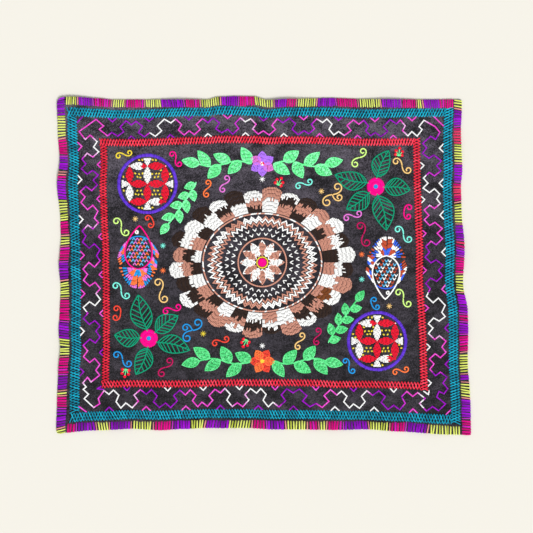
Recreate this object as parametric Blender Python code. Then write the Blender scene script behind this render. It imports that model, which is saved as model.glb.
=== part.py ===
# Embroidered cotton cloth lying flat: a hemmed sheet with two raised stitched bands,
# its rim a little rippled. Metres, +Z up, +X along the long side, resting on z = 0.

import math

import bmesh
import bpy
import numpy as np

MM = 0.001

# Corners of the cloth, measured from its middle, and the radius each is rounded to
CORNERS = {
    "bottom_left": {"x": -0.3088, "y": -0.2496, "radius": 0.006},
    "bottom_right": {"x": 0.3098, "y": -0.2526, "radius": 0.004},
    "top_left": {"x": -0.3073, "y": 0.2514, "radius": 0.010},
    "top_right": {"x": 0.2961, "y": 0.2485, "radius": 0.003},
}

# Each side's hem, and its two stitched bands: rows of along (share of the side) and mm for the
# depth of the hem and the inset of a band's middle line, and the width of a band (mm)
SIDES = {
    "left": {"outer_width": 14.9, "inner_width": 10.6,
             "hem": ((0.0, 14.0), (0.20, 15.0), (0.34, 15.4), (0.43, 13.6), (0.53, 15.2), (0.62, 12.8),
                     (0.78, 13.4), (0.90, 12.0), (1.0, 12.0)),
             "outer": ((0.0, 27.4), (0.20, 26.3), (0.32, 26.7), (0.42, 26.0), (0.52, 26.0),
                       (0.60, 23.2), (0.74, 24.4), (0.86, 23.0), (1.0, 21.8)),
             "inner": ((0.0, 72.6), (0.24, 73.1), (0.32, 74.1), (0.42, 72.9), (0.52, 72.8),
                       (0.64, 70.1), (0.80, 70.3), (1.0, 69.5))},
    "right": {"outer_width": 14.2, "inner_width": 11.0,
              "hem": ((0.0, 13.8), (0.20, 12.6), (0.33, 13.6), (0.44, 12.2), (0.54, 13.2), (0.66, 11.7),
                      (0.78, 12.4), (0.88, 11.7), (1.0, 12.2)),
              "outer": ((0.0, 22.8), (0.20, 22.4), (0.44, 22.6), (0.58, 22.9), (0.72, 22.6),
                        (0.80, 22.5), (1.0, 19.6)),
              "inner": ((0.0, 68.0), (0.26, 68.2), (0.38, 70.0), (0.56, 69.6), (0.70, 69.4),
                        (0.80, 70.6), (1.0, 68.5))},
    "bottom": {"outer_width": 14.6, "inner_width": 11.0,
               "hem": ((0.0, 13.6), (0.20, 13.0), (0.26, 14.4), (0.42, 12.9), (0.52, 14.6), (0.60, 14.0),
                       (0.70, 14.4), (0.78, 13.2), (0.84, 14.8), (1.0, 13.0)),
               "outer": ((0.0, 22.4), (0.12, 23.4), (0.25, 24.4), (0.62, 25.1), (0.76, 23.7), (1.0, 23.6)),
               "inner": ((0.0, 71.2), (0.25, 73.0), (0.32, 72.4), (0.46, 74.2), (0.56, 75.2),
                         (0.62, 74.8), (0.68, 72.8), (0.80, 73.0), (1.0, 71.4))},
    "top": {"outer_width": 13.2, "inner_width": 11.0,
            "hem": ((0.0, 11.9), (0.38, 11.8), (0.45, 14.2), (0.51, 11.8), (0.70, 12.2), (1.0, 12.8)),
            "outer": ((0.0, 22.2), (0.16, 22.6), (0.35, 19.2), (0.49, 21.8), (0.58, 19.8),
                      (0.77, 21.9), (0.92, 19.6), (1.0, 19.6)),
            "inner": ((0.0, 65.2), (0.18, 66.0), (0.36, 62.1), (0.45, 62.8), (0.58, 61.7),
                      (0.76, 64.5), (0.88, 63.6), (1.0, 63.6))},
}

# How unevenly each side runs: along (share of the side), out (mm past the straight line)
EDGE_WAVES = {
    "left": ((0.0, 0.0), (0.11, -1.4), (0.18, -3.0), (0.25, -6.0), (0.31, -3.5), (0.36, -4.9),
             (0.43, -6.2), (0.50, -3.8), (0.545, -5.4), (0.58, -6.4), (0.63, -5.6), (0.74, -0.6),
             (0.81, -4.5), (0.90, -1.1), (1.0, 0.0)),
    "right": ((0.0, 0.0), (0.08, 0.4), (0.14, 0.0), (0.20, -1.9), (0.37, 0.1), (0.45, -5.6),
              (0.57, -2.3), (0.66, -4.8), (0.735, -5.1), (0.795, -2.3), (0.89, -3.0), (1.0, 0.0)),
    "bottom": ((0.0, 0.0), (0.094, -4.8), (0.18, -7.4), (0.25, -5.4), (0.31, -7.6),
               (0.37, -9.5), (0.46, -9.5), (0.52, -7.5), (0.69, -7.4), (0.74, -8.3),
               (0.83, -5.2), (0.95, -1.0), (1.0, 0.0)),
    "top": ((0.0, 0.0), (0.037, 0.9), (0.10, -1.2), (0.14, -3.0), (0.37, -2.4), (0.40, 2.2),
            (0.44, 3.1), (0.485, 2.8), (0.52, -2.5), (0.58, -0.8), (0.67, 1.0), (0.77, -0.6),
            (0.90, -0.7), (1.0, 0.0)),
}
WAVE_FADE = 0.070      # how far in from the side its unevenness dies away

# Thickness of the sheet at each ring of the grid, from the rim inwards
RIM, HEM, GROUND, BAND = 1.5 * MM, 3.0 * MM, 1.8 * MM, 2.6 * MM
RING_THICKNESS = (RIM, HEM, HEM, GROUND, BAND, BAND, GROUND, GROUND,
                  GROUND, BAND, BAND, GROUND)
HEM_ROUND = 0.0018     # width over which the hem rounds down to the rim
BAND_SHOULDER = 0.0012  # width over which a band rises from the ground
FIELD_STEP = 0.0125    # size of a grid cell inside the inner band
FIELD_INSET = 0.078    # how far in from the sides the middle's cells begin, to count them

# Ripples of the rim: side, along (share of the side), span (share), height, reach inwards (mm)
RIM_RIPPLES = (
    ("bottom", 0.14, 0.060, 3.2, 60), ("bottom", 0.41, 0.070, 4.4, 70),
    ("bottom", 0.66, 0.055, 3.0, 55), ("bottom", 0.90, 0.050, 3.6, 60),
    ("top", 0.04, 0.060, 3.4, 55), ("top", 0.30, 0.060, 3.2, 55),
    ("top", 0.55, 0.060, 4.0, 65), ("top", 0.80, 0.060, 3.2, 60),
    ("left", 0.24, 0.070, 3.6, 60), ("left", 0.52, 0.060, 3.0, 50), ("left", 0.78, 0.060, 3.6, 60),
    ("right", 0.30, 0.060, 3.4, 55), ("right", 0.53, 0.060, 4.2, 65), ("right", 0.84, 0.060, 3.4, 55),
)

# Soft creases of the middle: x, y, turn (degrees), half length, half width (m), height (mm)
CREASES = (
    (-0.150, 0.085, 24, 0.055, 0.011, 2.2),
    (0.140, 0.100, -32, 0.060, 0.012, 2.4),
    (0.165, -0.070, 58, 0.050, 0.011, 2.0),
    (-0.110, -0.105, -18, 0.060, 0.012, 2.2),
    (0.062, 0.020, 75, 0.045, 0.013, 1.8),
)
LIFT_CUT = 0.45 * MM   # lift below this lies flat on the surface

LENGTH = CORNERS["bottom_right"]["x"] - CORNERS["bottom_left"]["x"]
WIDTH = CORNERS["top_left"]["y"] - CORNERS["bottom_left"]["y"]
CLOTH_COLOUR = (0.050, 0.047, 0.053, 1.0)


def eased(rows, along):
    """Value at each place along a table of (along, value) rows, eased between the rows."""
    at, value = np.array(rows).T
    low = np.clip(np.searchsorted(at, along) - 1, 0, len(at) - 2)
    share = np.clip((along - at[low]) / (at[low + 1] - at[low]), 0, 1)
    share = share * share * (3 - 2 * share)
    return value[low] + (value[low + 1] - value[low]) * share


def round_corners(u, v):
    """Pull the corners of the unit square in to arcs of the corners' radii."""
    u, v = u.copy(), v.copy()
    for name, corner in CORNERS.items():
        radius = corner["radius"]
        right, top = "right" in name, "top" in name
        from_side = (1 - u if right else u) * LENGTH
        from_end = (1 - v if top else v) * WIDTH
        p, q = radius - from_side, radius - from_end
        inside = (p > 0) & (q > 0)
        pull = np.maximum(p, q)[inside] / np.hypot(p, q)[inside]
        new_u = (radius - p[inside] * pull) / LENGTH
        new_v = (radius - q[inside] * pull) / WIDTH
        u[inside] = 1 - new_u if right else new_u
        v[inside] = 1 - new_v if top else new_v
    return u, v


def lay_out(u, v):
    """Where a point of the unit square lies on the surface: the four-sided cloth and its waves."""
    u, v = round_corners(u, v)
    x, y = (sum(CORNERS[name][axis] * (u if "right" in name else 1 - u) * (v if "top" in name else 1 - v)
                for name in CORNERS) for axis in "xy")
    x -= eased(EDGE_WAVES["left"], v) * MM * np.exp(-u * LENGTH / WAVE_FADE)
    x += eased(EDGE_WAVES["right"], v) * MM * np.exp(-(1 - u) * LENGTH / WAVE_FADE)
    y -= eased(EDGE_WAVES["bottom"], u) * MM * np.exp(-v * WIDTH / WAVE_FADE)
    y += eased(EDGE_WAVES["top"], u) * MM * np.exp(-(1 - v) * WIDTH / WAVE_FADE)
    return x, y


def lift_of(x, y):
    """How far the cloth stands off the surface, zero over most of its middle."""
    along = dict.fromkeys(("left", "right"), y / WIDTH + 0.5)
    along.update(dict.fromkeys(("bottom", "top"), x / LENGTH + 0.5))
    inwards = {"left": LENGTH / 2 + x, "right": LENGTH / 2 - x,
               "bottom": WIDTH / 2 + y, "top": WIDTH / 2 - y}
    lift = np.zeros_like(x)
    for side, middle, span, height, reach in RIM_RIPPLES:
        fade = np.clip(1 - inwards[side] / (reach * MM), 0, 1)
        lift += height * MM * np.exp(-((along[side] - middle) / span) ** 2) * fade * fade * (3 - 2 * fade)
    for middle_x, middle_y, turn, half_length, half_width, height in CREASES:
        cos, sin = math.cos(math.radians(turn)), math.sin(math.radians(turn))
        run = (x - middle_x) * cos + (y - middle_y) * sin
        across = (y - middle_y) * cos - (x - middle_x) * sin
        lift += height * MM * np.exp(-(run / half_length) ** 2 - (across / half_width) ** 2)
    return np.clip(lift - LIFT_CUT, 0, None)


def ring_insets(side, along):
    """Insets of the grid's rings from one side, at each share along it, from the rim inwards."""
    size = SIDES[side]
    edges = []
    for band in ("outer", "inner"):
        middle, half = eased(size[band], along) * MM, size[band + "_width"] * MM / 2
        edges += [middle - half, middle - half + BAND_SHOULDER, middle + half - BAND_SHOULDER, middle + half]
    hem = np.minimum(eased(size["hem"], along) * MM, edges[0] - BAND_SHOULDER)
    between = (edges[3] + edges[4]) / 2
    rim = np.zeros_like(along)
    return np.array([rim, rim + HEM_ROUND, hem, *edges[:4], between, *edges[4:]])


def grid_lines(low_side, high_side, extent, along):
    """Shares of the extent at which the grid's lines run, at each share along the two sides."""
    low = ring_insets(low_side, along) / extent
    high = 1 - ring_insets(high_side, along)[::-1] / extent
    cells = round((extent - 2 * FIELD_INSET) / FIELD_STEP)
    field = [low[-1] + (high[0] - low[-1]) * k / cells for k in range(1, cells)]
    return np.vstack((low, field, high))


def build_sheet():
    """The cloth as one closed sheet, its underside flat wherever it touches the surface."""
    middle = np.array((0.5,))
    columns, rows = (grid_lines(low, high, extent, middle)[:, 0] for low, high, extent in
                     (("left", "right", LENGTH), ("bottom", "top", WIDTH)))
    u = grid_lines("left", "right", LENGTH, rows)
    v = grid_lines("bottom", "top", WIDTH, columns).T
    wide, high = u.shape
    x, y = lay_out(u, v)
    x, y = x - (x.min() + x.max()) / 2, y - (y.min() + y.max()) / 2
    lift = lift_of(x, y)
    column_ring = np.minimum(np.arange(wide), np.arange(wide)[::-1])
    row_ring = np.minimum(np.arange(high), np.arange(high)[::-1])
    ring = np.minimum(column_ring[:, None], row_ring[None, :])
    thickness = np.array(RING_THICKNESS + (GROUND,))[np.minimum(ring, len(RING_THICKNESS))]

    sheet = bmesh.new()
    bmesh.ops.create_grid(sheet, x_segments=wide - 1, y_segments=high - 1, size=0.5)
    rise = {}
    for vert in sheet.verts:
        i = round((vert.co.x + 0.5) * (wide - 1))
        j = round((vert.co.y + 0.5) * (high - 1))
        vert.co = (x[i, j], y[i, j], lift[i, j])
        rise[vert.co[0], vert.co[1]] = thickness[i, j]
    lower = list(sheet.faces)
    raised = bmesh.ops.extrude_face_region(sheet, geom=lower)["geom"]
    for vert in (item for item in raised if isinstance(item, bmesh.types.BMVert)):
        vert.co.z += rise[vert.co[0], vert.co[1]]
    bmesh.ops.recalc_face_normals(sheet, faces=sheet.faces)
    flatten_underside(sheet, lower)
    return sheet


def flatten_underside(sheet, lower):
    """Join the underside's faces that lie in one plane, so that it rests on large flat faces."""
    below = set(lower)
    verts = [vert for vert in sheet.verts if all(face in below for face in vert.link_faces)]
    edges = [edge for edge in sheet.edges if all(face in below for face in edge.link_faces)]
    bmesh.ops.dissolve_limit(sheet, angle_limit=math.radians(0.05), verts=verts, edges=edges)


def cloth_material():
    material = bpy.data.materials.new("cloth")
    material.use_nodes = True
    shader = material.node_tree.nodes["Principled BSDF"]
    shader.inputs["Base Color"].default_value = CLOTH_COLOUR
    shader.inputs["Roughness"].default_value = 0.9
    shader.inputs["Metallic"].default_value = 0.0
    return material


def main():
    for item in list(bpy.data.objects):
        bpy.data.objects.remove(item, do_unlink=True)
    sheet = build_sheet()
    mesh = bpy.data.meshes.new("cloth")
    sheet.to_mesh(mesh)
    sheet.free()
    mesh.materials.append(cloth_material())
    mesh.shade_smooth()
    mesh.set_sharp_from_angle(angle=math.radians(50))
    cloth = bpy.data.objects.new("cloth", mesh)
    bpy.context.scene.collection.objects.link(cloth)
    print("cloth:", len(mesh.polygons), "faces,", sum(len(p.vertices) - 2 for p in mesh.polygons), "triangles")


main()
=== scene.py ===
import math

import bpy
import numpy as np
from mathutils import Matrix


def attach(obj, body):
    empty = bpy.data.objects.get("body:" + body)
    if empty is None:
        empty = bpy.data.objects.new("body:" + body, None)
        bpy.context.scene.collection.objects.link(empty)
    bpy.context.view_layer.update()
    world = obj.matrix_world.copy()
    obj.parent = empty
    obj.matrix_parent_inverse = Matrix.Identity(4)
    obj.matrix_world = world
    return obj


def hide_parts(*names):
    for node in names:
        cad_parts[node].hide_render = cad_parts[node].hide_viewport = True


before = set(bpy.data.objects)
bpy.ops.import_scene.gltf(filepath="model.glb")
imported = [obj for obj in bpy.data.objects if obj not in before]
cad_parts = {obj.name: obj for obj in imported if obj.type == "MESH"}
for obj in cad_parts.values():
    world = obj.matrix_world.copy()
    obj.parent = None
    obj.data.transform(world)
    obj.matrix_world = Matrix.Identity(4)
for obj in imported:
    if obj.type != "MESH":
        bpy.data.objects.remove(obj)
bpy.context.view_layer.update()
mm = 0.001                     # the tables and the stitch places below are in millimetres
rng = np.random.default_rng(7)

# The cloth as it was cut and as it lies: four unequal sides with their own waves

clothCut = {
    # corner: x, y from the middle, and the radius it is rounded to
    "corners": {"bottomLeft": (-308.8, -249.6, 6), "bottomRight": (309.8, -252.6, 4),
                "topLeft": (-307.3, 251.4, 10), "topRight": (296.1, 248.5, 3)},
    # how far out each side runs past its straight line: (share along the side, mm)
    "waves": {
        "left": ((0, 0), (.11, -1.4), (.18, -3), (.25, -6), (.31, -3.5), (.36, -4.9), (.43, -6.2),
                 (.5, -3.8), (.545, -5.4), (.58, -6.4), (.63, -5.6), (.74, -.6), (.81, -4.5),
                 (.9, -1.1), (1, 0)),
        "right": ((0, 0), (.08, .4), (.14, 0), (.2, -1.9), (.37, .1), (.45, -5.6), (.57, -2.3),
                  (.66, -4.8), (.735, -5.1), (.795, -2.3), (.89, -3), (1, 0)),
        "bottom": ((0, 0), (.094, -4.8), (.18, -7.4), (.25, -5.4), (.31, -7.6), (.37, -9.5),
                   (.46, -9.5), (.52, -7.5), (.69, -7.4), (.74, -8.3), (.83, -5.2), (.95, -1), (1, 0)),
        "top": ((0, 0), (.037, .9), (.1, -1.2), (.14, -3), (.37, -2.4), (.4, 2.2), (.44, 3.1),
                (.485, 2.8), (.52, -2.5), (.58, -.8), (.67, 1), (.77, -.6), (.9, -.7), (1, 0))},
    "waveFade": 70,            # how far in from a side its waves die away
    # how deep each side's hem is, where its two stitched bands' middle lines run, as rows of
    # (share along the side, mm), and how wide the bands are
    "sides": {
        "left": {
            "hem": ((0, 14), (.2, 15), (.34, 15.4), (.43, 13.6), (.53, 15.2), (.62, 12.8),
                    (.78, 13.4), (.9, 12), (1, 12)),
            "outer": ((0, 27.4), (.2, 26.3), (.32, 26.7), (.42, 26), (.52, 26), (.6, 23.2),
                      (.74, 24.4), (.86, 23), (1, 21.8)),
            "inner": ((0, 72.6), (.24, 73.1), (.32, 74.1), (.42, 72.9), (.52, 72.8), (.64, 70.1),
                      (.8, 70.3), (1, 69.5)),
            "outerWidth": 14.9, "innerWidth": 10.6},
        "right": {
            "hem": ((0, 13.8), (.2, 12.6), (.33, 13.6), (.44, 12.2), (.54, 13.2), (.66, 11.7),
                    (.78, 12.4), (.88, 11.7), (1, 12.2)),
            "outer": ((0, 22.8), (.2, 22.4), (.44, 22.6), (.58, 22.9), (.72, 22.6), (.8, 22.5),
                      (1, 19.6)),
            "inner": ((0, 68), (.26, 68.2), (.38, 70), (.56, 69.6), (.7, 69.4), (.8, 70.6), (1, 68.5)),
            "outerWidth": 14.2, "innerWidth": 11},
        "bottom": {
            "hem": ((0, 13.6), (.2, 13), (.26, 14.4), (.42, 12.9), (.52, 14.6), (.6, 14), (.7, 14.4),
                    (.78, 13.2), (.84, 14.8), (1, 13)),
            "outer": ((0, 22.4), (.12, 23.4), (.25, 24.4), (.62, 25.1), (.76, 23.7), (1, 23.6)),
            "inner": ((0, 71.2), (.25, 73), (.32, 72.4), (.46, 74.2), (.56, 75.2), (.62, 74.8),
                      (.68, 72.8), (.8, 73), (1, 71.4)),
            "outerWidth": 14.6, "innerWidth": 11},
        "top": {
            "hem": ((0, 11.9), (.38, 11.8), (.45, 14.2), (.51, 11.8), (.7, 12.2), (1, 12.8)),
            "outer": ((0, 22.2), (.16, 22.6), (.35, 19.2), (.49, 21.8), (.58, 19.8), (.77, 21.9),
                      (.92, 19.6), (1, 19.6)),
            "inner": ((0, 65.2), (.18, 66), (.36, 62.1), (.45, 62.8), (.58, 61.7), (.76, 64.5),
                      (.88, 63.6), (1, 63.6)),
            "outerWidth": 13.2, "innerWidth": 11}},
    # ripples of the rim: side, share along it, span as a share, height, reach inwards
    "ripples": (
        ("bottom", .14, .06, 3.2, 60), ("bottom", .41, .07, 4.4, 70), ("bottom", .66, .055, 3, 55),
        ("bottom", .9, .05, 3.6, 60), ("top", .04, .06, 3.4, 55), ("top", .3, .06, 3.2, 55),
        ("top", .55, .06, 4, 65), ("top", .8, .06, 3.2, 60), ("left", .24, .07, 3.6, 60),
        ("left", .52, .06, 3, 50), ("left", .78, .06, 3.6, 60), ("right", .3, .06, 3.4, 55),
        ("right", .53, .06, 4.2, 65), ("right", .84, .06, 3.4, 55)),
    # soft creases: x, y, turn in degrees, half length, half width, height
    "creases": ((-150, 85, 24, 55, 11, 2.2), (140, 100, -32, 60, 12, 2.4), (165, -70, 58, 50, 11, 2),
                (-110, -105, -18, 60, 12, 2.2), (62, 20, 75, 45, 13, 1.8)),
    "liftCut": .45,            # lift below this lies flat
    "pucker": .28,             # height of the small puckers between the stitches
}
corners = clothCut["corners"]
clothLength = corners["bottomRight"][0] - corners["bottomLeft"][0]
clothWidth = corners["topLeft"][1] - corners["bottomLeft"][1]


def smooth(share):
    return share * share * (3 - 2 * share)


def eased(rows, along):
    # value along a table of (along, value) rows, eased from row to row
    at, value = np.array(rows, float).T
    low = np.clip(np.searchsorted(at, along) - 1, 0, len(at) - 2)
    share = np.clip((along - at[low]) / (at[low + 1] - at[low]), 0, 1)
    return value[low] + (value[low + 1] - value[low]) * smooth(share)


def isLevel(side):
    return side in ("bottom", "top")


def sideLength(side):
    return clothLength if isLevel(side) else clothWidth


def alongSides(u, v):
    return {"left": v, "right": v, "bottom": u, "top": u}


def sideGaps(u, v):
    # distance in from each side, of a place given as shares of the cloth's length and width
    return {"left": u * clothLength, "right": (1 - u) * clothLength,
            "bottom": v * clothWidth, "top": (1 - v) * clothWidth}


def sharesAt(x, y):
    return x / clothLength + .5, y / clothWidth + .5


def roundCorners(u, v):
    u, v = u.copy(), v.copy()
    for name, (_, _, radius) in corners.items():
        right, top = "Right" in name, "top" in name
        p = radius - (1 - u if right else u) * clothLength
        q = radius - (1 - v if top else v) * clothWidth
        inside = (p > 0) & (q > 0)
        pull = np.maximum(p, q)[inside] / np.hypot(p, q)[inside]
        newU = (radius - p[inside] * pull) / clothLength
        newV = (radius - q[inside] * pull) / clothWidth
        u[inside] = 1 - newU if right else newU
        v[inside] = 1 - newV if top else newV
    return u, v


def layOutLoose(u, v):
    u, v = roundCorners(u, v)
    x, y = (sum(corner[axis] * (u if "Right" in name else 1 - u) * (v if "top" in name else 1 - v)
                for name, corner in corners.items()) for axis in (0, 1))
    gaps, along = sideGaps(u, v), alongSides(u, v)
    out = {side: eased(rows, along[side]) * np.exp(-gaps[side] / clothCut["waveFade"])
           for side, rows in clothCut["waves"].items()}
    return x - out["left"] + out["right"], y - out["bottom"] + out["top"]


# the middle of the outline's box goes to the origin
rim = np.linspace(0, 1, 601)
rimX, rimY = layOutLoose(np.concatenate((rim, rim, rim * 0, rim * 0 + 1)),
                         np.concatenate((rim * 0, rim * 0 + 1, rim, rim)))
middleX, middleY = (rimX.min() + rimX.max()) / 2, (rimY.min() + rimY.max()) / 2


def layOut(u, v):
    x, y = layOutLoose(np.asarray(u, float), np.asarray(v, float))
    return x - middleX, y - middleY


def sidePlace(side, along, inset):
    # a place given by its share along a side and its distance in from that side
    along, inset = np.broadcast_arrays(np.asarray(along, float), np.asarray(inset, float))
    share = inset / (clothWidth if isLevel(side) else clothLength)
    if side in ("right", "top"):
        share = 1 - share
    return layOut(along, share) if isLevel(side) else layOut(share, along)


def hemAt(side, along):
    return eased(clothCut["sides"][side]["hem"], along)


def bandInset(side, band, along):
    # inset of a band's outer edge, and the band's width
    size = clothCut["sides"][side]
    width = size[band + "Width"]
    return eased(size[band], along) - width / 2, width


def liftAt(x, y):
    # how far the cloth stands off the surface, with its small puckers
    shares = sharesAt(x, y)
    gaps, along = sideGaps(*shares), alongSides(*shares)
    lift = np.zeros_like(x)
    for side, middle, span, height, reach in clothCut["ripples"]:
        fade = smooth(np.clip(1 - gaps[side] / reach, 0, 1))
        lift += height * np.exp(-((along[side] - middle) / span) ** 2) * fade
    for cx, cy, turn, halfLength, halfWidth, height in clothCut["creases"]:
        c, s = math.cos(math.radians(turn)), math.sin(math.radians(turn))
        run, across = (x - cx) * c + (y - cy) * s, (y - cy) * c - (x - cx) * s
        lift += height * np.exp(-(run / halfLength) ** 2 - (across / halfWidth) ** 2)
    lift = np.clip(lift - clothCut["liftCut"], 0, None)
    # the numbers here are the puckers' lengths in mm, none a multiple of another
    wave = (np.sin(x / 7.1 + 1.7 * np.sin(y / 11.3)) * np.sin(y / 6.3 + 1.3 * np.sin(x / 13.1))
            + .6 * np.sin(x / 3.9 + y / 5.7) * np.sin(y / 4.3 - x / 8.9))
    return lift + clothCut["pucker"] * (.5 + .5 * wave / 1.6)


def drift(along, turns):
    # a slow unevenness along a side, about -1 to 1, different at each call
    phases = rng.uniform(0, 6.28, 3)
    return sum(strength * np.sin(along * turns * pace + phase) for strength, pace, phase in
               zip((1, 1, .7), (6.28, 14.3, 30.1), phases)) / 2.2


# Shader maths: a socket that takes part in Python expressions

class Wire:
    def __init__(self, finish, socket):
        self.finish, self.socket = finish, socket

    def maths(self, operation, *others):
        inputs = {0: self, **{k + 1: other for k, other in enumerate(others)}}
        return self.finish.node("ShaderNodeMath", {"operation": operation}, inputs)

    def __add__(self, other):
        return self.maths("ADD", other)

    def __mul__(self, other):
        return self.maths("MULTIPLY", other)

    def __sub__(self, other):
        return self.maths("SUBTRACT", other)

    def __rsub__(self, other):
        return self * -1 + other

    __radd__ = __add__
    __rmul__ = __mul__

    def wave(self):
        # a sine of the value in turns, from 0 to 1
        return (self * (2 * math.pi)).maths("SINE") * .5 + .5

    def second(self):
        # the second output of the same node
        return Wire(self.finish, self.socket.node.outputs[1])


class Finish:
    def __init__(self, name, **constants):
        self.material = bpy.data.materials.new(name)
        self.material.use_nodes = True
        self.tree = self.material.node_tree
        self.shader = self.tree.nodes["Principled BSDF"]
        for socket, value in constants.items():
            self.shader.inputs[socket.replace("_", " ")].default_value = value

    def node(self, kind, settings=None, inputs=None, output=0):
        node = self.tree.nodes.new(kind)
        for name, value in (settings or {}).items():
            if name == "stops":
                self.setStops(node.color_ramp, value)
            else:
                setattr(node, name, value)
        for socket, value in (inputs or {}).items():
            if isinstance(value, Wire):
                self.tree.links.new(value.socket, node.inputs[socket])
            else:
                node.inputs[socket].default_value = value
        return Wire(self, node.outputs[output])

    def setStops(self, ramp, stops):
        ramp.interpolation = "CONSTANT"
        while len(ramp.elements) < len(stops):
            ramp.elements.new(1)
        for element, (position, colour) in zip(ramp.elements, stops):
            element.position = position
            element.color = colour

    def noise(self, place, scale, detail, distortion=0, dimensions="3D"):
        return self.node("ShaderNodeTexNoise", {"noise_dimensions": dimensions}, {
            "Vector": place, "Scale": scale, "Detail": detail, "Distortion": distortion})

    def scaled(self, colour, factor):
        inputs = {0: colour, "Scale": factor}
        return self.node("ShaderNodeVectorMath", {"operation": "SCALE"}, inputs)

    def bump(self, strength, distance, height):
        inputs = {"Strength": strength, "Distance": distance, "Height": height}
        return self.node("ShaderNodeBump", None, inputs)

    def feed(self, **wires):
        for socket, wire in wires.items():
            self.tree.links.new(wire.socket, self.shader.inputs[socket.replace("_", " ")])


def linear(red, green, blue):
    # a colour read as screen values, turned to light
    def one(value):
        value = value / 255
        return value / 12.92 if value <= .04045 else ((value + .055) / 1.055) ** 2.4
    return (one(red), one(green), one(blue), 1)


threadLook = {
    "uvSpan": 40,              # length of thread, in mm, that the map's height holds
    "plyPitch": 1.9,           # mm from ply to ply along the thread
    "plyTwist": .9,            # how far a ply runs along the thread as it crosses it, in pitches
    "plyGrooveShade": .14,             # painted shade between the plies: how much darker it is there
    "edgeShade": .12,          # how much darker it is at its sides
    # slow changes of tone and fine fuzz: across and along the map, scale, detail
    "tone": (3.7, 9, 3, 1), "fuzz": (5, 34, 2.6, 2),
    "toneStrength": .4, "fuzzStrength": .2,
    "roughness": .48, "fuzzRoughness": .15,
    "bump": .00022, "bumpStrength": .6, "plyBump": .8, "fuzzBump": .5,
}


def threadFinish(name, shades):
    # one strip of the map for each shade: across the strip is across the thread, and up it is
    # along the thread
    look, count = threadLook, len(shades)
    finish = Finish(name, Specular_IOR_Level=.1)
    coordinates = finish.node("ShaderNodeUVMap", {"uv_map": "OFBake"})
    split = finish.node("ShaderNodeSeparateXYZ", None, {0: coordinates})
    across, along = (split * count).maths("FRACT"), split.second()
    stops = [(k / count, linear(*colour)) for k, colour in enumerate(shades.values())]
    colour = finish.node("ShaderNodeValToRGB", {"stops": stops}, {0: split})
    ply = (along * (look["uvSpan"] / look["plyPitch"]) + across * look["plyTwist"]).wave()

    def grain(kind, strips):
        wide, high, scale, detail = look[kind]
        place = finish.node("ShaderNodeCombineXYZ", None, {0: split * (wide * strips), 1: along * high})
        return finish.noise(place, scale, detail, dimensions="2D")

    tone, fuzz = grain("tone", 1), grain("fuzz", count)
    side = (across * 2 - 1).maths("ABSOLUTE")
    # painted shade between the plies and at the thread's sides
    shade = (1 - (1 - ply) * look["plyGrooveShade"]) * (1 - side * side * look["edgeShade"])
    shade = shade * (tone * look["toneStrength"] + .82) * (fuzz * look["fuzzStrength"] + .9)
    finish.feed(
        Base_Color=finish.scaled(colour, shade),
        Roughness=fuzz * look["fuzzRoughness"] + look["roughness"],
        Normal=finish.bump(look["bumpStrength"], look["bump"],
                           ply * look["plyBump"] + fuzz * look["fuzzBump"]))
    return finish.material


# Stitches: short strands swept along paths and joined into one mesh from arrays

straightStitch = {"shares": (0, .15, .85, 1), "rise": (-.15, .42, .42, -.15), "base": 1.3,
                  "taper": (.55, 1, 1, .55)}


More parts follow.
